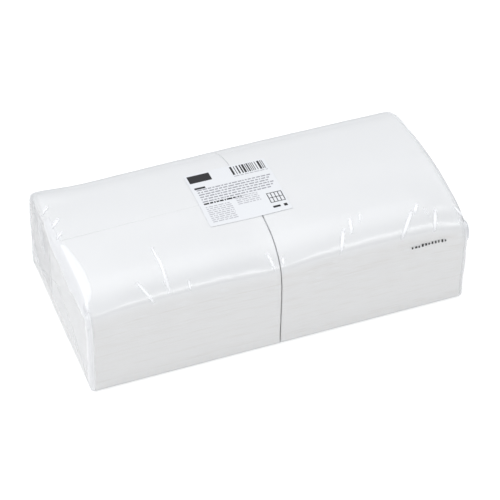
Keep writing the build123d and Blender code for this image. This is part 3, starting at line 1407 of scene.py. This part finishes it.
@dataclass
class PaperLabel:
    """Printed paper label on the crown of the film."""

    form: LoafForm
    settling: Settling
    growth: float
    centre_x: float = -5.6
    centre_y: float = 5.5
    turn: float = math.radians(-1.0)
    length: float = 72.0
    width: float = 72.0
    thickness: float = 0.1
    innermost: float = 0.05
    crisp_angle: float = math.radians(40.0)
    steps: int = 40
    ink_lift: float = 0.02
    ink_thickness: float = 0.02
    ink_strip: float = 3.0
    seed: int = 5
    solids: tuple[InkPatch, ...] = (
        InkPatch(left=2.0, low=59.0, width=19.5, height=10.5),
        InkPatch(left=3.0, low=49.6, width=9.5, height=2.4),
        InkPatch(left=57.0, low=5.4, width=6.4, height=2.4),
        InkPatch(left=66.4, low=4.8, width=3.0, height=3.2),
    )
    prints: tuple[SmallPrint, ...] = (
        SmallPrint(Ink.PALE, left=40.0, low=55.4, length=30.0, height=1.1),
        SmallPrint(Ink.GREY, left=4.0, low=47.4, length=65.0, height=1.4, lines=6, pitch=3.2, shorter=2.0),
        SmallPrint(Ink.BLACK, left=4.0, low=28.0, length=33.0, height=1.9),
        SmallPrint(Ink.PALE, left=4.0, low=24.0, length=22.0, height=1.0, lines=9, pitch=2.4),
        SmallPrint(Ink.PALE, left=31.0, low=28.6, length=20.0, height=1.0, lines=5, pitch=2.4),
    )

    def place(self, u: Array, v: Array, lift: float) -> Array:
        """Points on or above the label's underside from places on its sheet.

        The sheet is turned about its middle, set down at its place on the pack and laid on the crown's arcs.

        Args:
            u: distance from the label's left edge.
            v: distance from the label's lower edge.
            lift: height above the label's underside.

        Returns:
            Coordinates on the settled pack.
        """
        du, dv = u - self.length / 2.0, v - self.width / 2.0
        x = self.centre_x + math.cos(self.turn) * du - math.sin(self.turn) * dv
        y = self.centre_y + math.sin(self.turn) * du + math.cos(self.turn) * dv
        z = self.form.top(y, self.growth) - self.form.length_fall(x) + lift
        return self.settling.move(np.stack([x, y, z], axis=-1), seam=False)

    def build(self, material: Material) -> Piece:
        """Builds the label as a thin closed plate: rings of its outline, under, round the edge and over.

        Args:
            material: the label paper.

        Returns:
            The label's object.
        """
        run = np.linspace(0.0, 1.0, self.steps, endpoint=False)
        edge_u = np.concatenate([run, np.ones(self.steps), 1.0 - run, np.zeros(self.steps)]) - 0.5
        edge_v = np.concatenate([np.zeros(self.steps), run, np.ones(self.steps), 1.0 - run]) - 0.5
        out = np.linspace(self.innermost, 1.0, self.steps)
        shrink = np.concatenate([out, out[::-1]])[:, None]
        lift = np.concatenate([np.zeros(self.steps), np.full(self.steps, self.thickness)])[:, None]
        u = (0.5 + edge_u[None] * shrink) * self.length
        v = (0.5 + edge_v[None] * shrink) * self.width
        rows = self.place(u, v, 0.0)
        rows[..., 2] += lift
        middle = self.place(np.array([self.length / 2.0]), np.array([self.width / 2.0]), 0.0)[0]
        poles = (middle, middle + np.array([0.0, 0.0, self.thickness]))
        piece = put_lofted("paper_label_sheet", rows, poles, material)
        piece.data.set_sharp_from_angle(angle=self.crisp_angle)
        dress(piece, "paper_label")
        return piece

    def patches(self) -> dict[Ink, list[InkPatch]]:
        """Lays out the generic print: solid fields, a fold drawing, a bar code and lines of small print.

        Returns:
            The printed rectangles of each ink.
        """
        draw = np.random.default_rng(self.seed)
        made: dict[Ink, list[InkPatch]] = {ink: [] for ink in Ink}
        made[Ink.BLACK] += [*self.solids, *FoldGrid().patches(), *BarCode().patches(draw)]
        for small_print in self.prints:
            made[small_print.ink] += small_print.patches(draw)
        return made

    def build_print(self, materials: dict[Ink, Material]) -> None:
        """Puts the ink on the label: thin closed plates, in strips low enough to follow the label's crown.

        Args:
            materials: the material of each ink.
        """
        for ink, patches in self.patches().items():
            sizes = np.array([[patch.left, patch.low, patch.width, patch.height] for patch in patches])
            strips = np.ceil(sizes[:, 3] / self.ink_strip).astype(int)
            left, low, width, height = np.repeat(sizes, strips, axis=0).T[:, :, None]
            number = np.concatenate([np.arange(count) for count in strips])[:, None]
            height = height / np.repeat(strips, strips)[:, None]
            under = self.place(
                left + width * CORNER_U, low + (number + CORNER_V) * height, self.thickness + self.ink_lift
            )
            plates = np.concatenate([under, under + np.array([0.0, 0.0, self.ink_thickness])], axis=1)
            piece = put_plates(f"label_print_{ink.value}", plates, materials[ink])
            dress(piece, "paper_label")


@dataclass
class FilmCode:
    """Row of short dark bars on the front of the film, where a packing line prints its code."""

    form: LoafForm
    settling: Settling
    growth: float
    start_x: float = 115.0
    end_x: float = 148.4
    start_z: float = 67.2
    end_z: float = 68.8
    count: int = 11
    width_shares: Pair = (0.35, 0.65)
    height: float = 2.7
    height_shares: Pair = (0.55, 1.0)
    lift: float = 0.15
    thickness: float = 0.03
    seed: int = 8

    def build(self, material: Material) -> Piece:
        """Builds the bars as thin closed plates of random width and height on the cheek of the film.

        Args:
            material: the ink.

        Returns:
            The code's object.
        """
        draw = np.random.default_rng(self.seed)
        pitch = (self.end_x - self.start_x) / self.count
        left = self.start_x + np.arange(self.count) * pitch
        width = pitch * draw.uniform(*self.width_shares, self.count)
        tall = self.height * draw.uniform(*self.height_shares, self.count)
        low = self.start_z + (self.end_z - self.start_z) * np.arange(self.count) / self.count
        low = low + (self.height - tall) * draw.uniform(0.0, 1.0, self.count)
        x = left[:, None] + width[:, None] * CORNER_U
        z = low[:, None] + tall[:, None] * CORNER_V
        y = -self.form.side(z + self.form.length_fall(x), self.growth)
        under = self.settling.move(np.stack([x, y - self.lift, z], axis=-1))
        points = np.concatenate([under, under - np.array([0.0, self.thickness, 0.0])], axis=1)
        piece = put_plates("film_code_black", points, material)
        dress(piece, "film_wrap")
        return piece


@dataclass(frozen=True)
class Softbox:
    """Rectangular studio light, placed by where it hangs and what it faces, in metres."""

    name: str
    place: tuple[float, float, float]
    width: float
    height: float
    radiance: float
    colour: str = "FFFFFF"
    faces: tuple[float, float, float] = (0.0, 0.0, 0.05)

    def hang(self) -> None:
        """Hangs the light. Its power is its radiance times its area times pi."""
        lamp = bpy.data.lights.new(self.name, "AREA")
        lamp.shape = "RECTANGLE"
        lamp.size = self.width
        lamp.size_y = self.height
        lamp.energy = self.radiance * self.width * self.height * math.pi
        lamp.color = linear(self.colour)[:3]
        holder = bpy.data.objects.new(self.name, lamp)
        holder.location = self.place
        aim = Vector(self.faces) - Vector(self.place)
        holder.rotation_mode = "QUATERNION"
        holder.rotation_quaternion = aim.to_track_quat("-Z", "Y")
        bpy.context.scene.collection.objects.link(holder)


@dataclass(frozen=True)
class Studio:
    """White sweep table, soft light all round and the camera at the photograph's viewing angle."""

    picture_side: float = 500.0
    focal_pixels: float = 2600.0
    sensor_mm: float = 36.0
    elevation: float = math.radians(42.0)
    azimuth: float = math.radians(-20.43)
    distance_mm: float = 2202.5
    target_mm: tuple[float, float, float] = (0.0, 0.0, 40.0)
    target_right_pixels: float = -3.68
    target_down_pixels: float = -4.73
    clip_end: float = 50.0
    floor_side: float = 12.0
    floor_drop_mm: float = 0.2
    floor_grain_mm: float = 1000.0 / 60.0
    floor_detail: float = 2.0
    floor_roughness: Pair = (0.85, 0.95)
    floor_specular: float = 0.1
    floor_glow: float = 0.5
    floor_colour: str = "D0D0D0"
    glow_colour: str = "FFFFFF"
    sky_colour: str = "FCFDFF"
    dim_strength: float = 0.43
    bright_strength: float = 1.61
    bright_heading: tuple[float, float, float] = (-0.2, 0.16, 0.967)
    bright_reach: float = 0.5
    film_sheets_deep: int = 24
    lights: tuple[Softbox, ...] = (
        Softbox("left_softbox", (-0.9, -0.2, 1.3), width=0.7, height=0.7, radiance=2.6),
        Softbox("right_strip", (1.5, 0.0, 0.9), width=0.3, height=1.2, radiance=1.8),
        Softbox("front_strip", (0.56, -1.38, 1.55), width=2.6, height=0.18, radiance=4.4),
    )

    def set_camera(self) -> None:
        """Sets the camera on a ray from the target, turned so that the target falls in its place."""
        back = Vector(
            (
                math.sin(self.azimuth) * math.cos(self.elevation),
                -math.cos(self.azimuth) * math.cos(self.elevation),
                math.sin(self.elevation),
            )
        )
        right = Vector((math.cos(self.azimuth), math.sin(self.azimuth), 0.0))
        up = back.cross(right)
        target = Vector(self.target_mm) * MM
        place = target + back * self.distance_mm * MM
        pixel = self.distance_mm * MM / self.focal_pixels
        aim = target - right * self.target_right_pixels * pixel + up * self.target_down_pixels * pixel
        camera = bpy.data.cameras.new("camera")
        camera.sensor_width = self.sensor_mm
        camera.lens = self.sensor_mm * self.focal_pixels / self.picture_side
        camera.clip_end = self.clip_end
        holder = bpy.data.objects.new("camera", camera)
        holder.location = place
        holder.rotation_mode = "QUATERNION"
        holder.rotation_quaternion = (aim - place).to_track_quat("-Z", "Y")
        bpy.context.scene.collection.objects.link(holder)
        bpy.context.scene.camera = holder

    def lay_floor(self) -> None:
        """Lays a white table that glows a little, as one lit from below does."""
        material, tree, output = new_material("lit_white_acrylic_table")
        grain = noise(tree, self.floor_grain_mm, self.floor_detail)
        inputs = {
            "Base Color": linear(self.floor_colour),
            "Roughness": spread(tree, grain, *self.floor_roughness),
            "Specular IOR Level": self.floor_specular,
            "Emission Color": linear(self.glow_colour),
            "Emission Strength": self.floor_glow,
        }
        coat(tree, output, inputs)
        side = self.floor_side / MM
        x, y = (CORNER_U - 0.5) * side, (CORNER_V - 0.5) * side
        corners = np.stack([x, y, np.full(len(x), -self.floor_drop_mm)], axis=-1)
        put_piece("white_table", corners, [[0, 1, 2, 3]], material)

    def light(self) -> None:
        """Fills the room with soft light, brightest high up behind the pack, and hangs the softboxes.

        The sky's strength is a smooth step of the cosine between a direction and the brightest one.
        """
        world = bpy.data.worlds.new("soft_room")
        world.use_nodes = True
        tree = world.node_tree
        tree.nodes.clear()
        heading = node(tree, "ShaderNodeTexCoord")
        nearness = node(
            tree,
            "ShaderNodeVectorMath",
            {0: heading.outputs["Generated"], 1: self.bright_heading},
            operation="DOT_PRODUCT",
        )
        strength = node(
            tree,
            "ShaderNodeMapRange",
            {
                "Value": nearness.outputs["Value"],
                "From Min": self.bright_reach,
                "From Max": 1.0,
                "To Min": self.dim_strength,
                "To Max": self.bright_strength,
            },
            interpolation_type="SMOOTHSTEP",
        )
        fill = node(
            tree,
            "ShaderNodeBackground",
            {"Color": linear(self.sky_colour), "Strength": strength.outputs["Result"]},
        )
        output = node(tree, "ShaderNodeOutputWorld", {"Surface": fill.outputs["Background"]})
        output.is_active_output = True
        scene = bpy.context.scene
        scene.world = world
        scene.view_settings.view_transform = "Standard"
        scene.cycles.transparent_max_bounces = self.film_sheets_deep
        for softbox in self.lights:
            softbox.hang()


def stack_name(right: bool, back: bool) -> str:
    """Name of the node of the stack on that side."""
    return f"napkin_stack_{'back' if back else 'front'}_{side_name(right)}"


def film_wrinkles() -> list[Wrinkle]:
    """Creases that the heat-shrunk film shows along the front edge and over the corners of the top.

    Returns:
        The creases on the developed sheet.
    """
    front = [
        Wrinkle(-120.1, 69.0, -109.9, 88.7),
        Wrinkle(-97.6, 36.6, -95.6, 84.0),
        Wrinkle(-98.6, 74.0, -94.6, 84.0, width=0.9, haze_highlight=0.7),
        Wrinkle(-78.2, 78.0, -78.2, 86.0, width=0.9, haze_highlight=0.8),
        Wrinkle(-9.0, 70.0, -4.6, 85.0),
        Wrinkle(3.6, 77.0, 2.6, 83.0, width=1.2),
        Wrinkle(58.8, 69.0, 52.6, 86.5, width=1.4),
        Wrinkle(67.0, 60.0, 64.9, 74.0, width=1.2),
        Wrinkle(76.2, 58.0, 75.1, 65.5, width=0.9, haze_highlight=0.7),
        Wrinkle(121.1, 67.0, 106.8, 87.0, width=1.4),
        Wrinkle(128.3, 61.0, 123.2, 69.5, width=1.2),
        Wrinkle(132.4, 66.0, 135.4, 74.1, width=0.9, haze_highlight=0.5),
        Wrinkle(142.6, 69.0, 136.5, 86.5, width=1.4),
        Wrinkle(160.5, 67.0, 166.0, 77.0),
        Wrinkle(161.0, 78.0, 161.9, 83.0, width=0.9, haze_highlight=0.6),
    ]
    left = [
        Wrinkle(-165.1, -42.3, -159.0, -47.0),
        Wrinkle(-163.6, -18.8, -154.9, -28.2, width=1.2),
        Wrinkle(-163.6, -4.7, -157.9, -9.4),
    ]
    corners = [
        Wrinkle(167.2, 81.0, 167.2, 100.0, width=2.2, height=2.0, haze_highlight=0.3),
    ]
    return front + left + corners


def main() -> None:
    """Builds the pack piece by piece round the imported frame, then the room."""
    logging.basicConfig(level=logging.INFO, format="%(name)s: %(message)s")
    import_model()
    stack_low, stack_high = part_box(stack_name(True, True))
    film_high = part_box("film_wrap")[1]
    form = LoafForm(
        half_length=stack_high[0] / MM,
        half_width=stack_high[1] / MM,
        crest=stack_high[2] / MM,
        base=stack_low[2] / MM,
    )
    growth = (film_high[1] / MM - form.half_width) * FILM_PLACE
    settling = Settling(form.half_length, form.half_width, form.crest)

    tissue = TissuePaper().make()
    film = ClearFilm().make()
    for right in (False, True):
        for back in (False, True):
            NapkinStack(
                form,
                settling,
                stack_name(right, back),
                right,
                back,
                halves_gap=0.3 if back else 0.75,
                rows_gap=0.02 if right else 0.1,
                gap_radius=0.5 if back else 0.9,
                row_radius=0.0 if right else 0.6,
                seed=FIRST_STACK_SEED + 2 * right + back,
            ).build(tissue)
    label = PaperLabel(form, settling, growth + LABEL_ABOVE_FILM)
    FilmWrap(form, settling, growth, film_wrinkles(), label.centre_x, label.centre_y).build(film)
    for right in (False, True):
        EndFlap(form, settling, growth, right).build(film)
        DrapedFlap(
            form,
            settling,
            growth,
            right,
            start=7.0 if right else 2.0,
            band_width=0.0 if right else 6.6,
            band_haze_highlight=0.66 if right else 0.9,
        ).build(film)
    inks = {
        Ink.BLACK: PrintInk("black_label_ink", "141416", "26262A").make(),
        Ink.GREY: PrintInk("grey_label_ink", "8C8C94", "A6A6AE").make(),
        Ink.PALE: PrintInk("pale_label_ink", "ACACB2", "C0C0C6").make(),
    }
    label.build(LabelPaper().make())
    label.build_print(inks)
    FilmCode(form, settling, growth).build(inks[Ink.BLACK])

    studio = Studio()
    studio.lay_floor()
    studio.light()
    studio.set_camera()


if __name__ == "__main__":
    main()
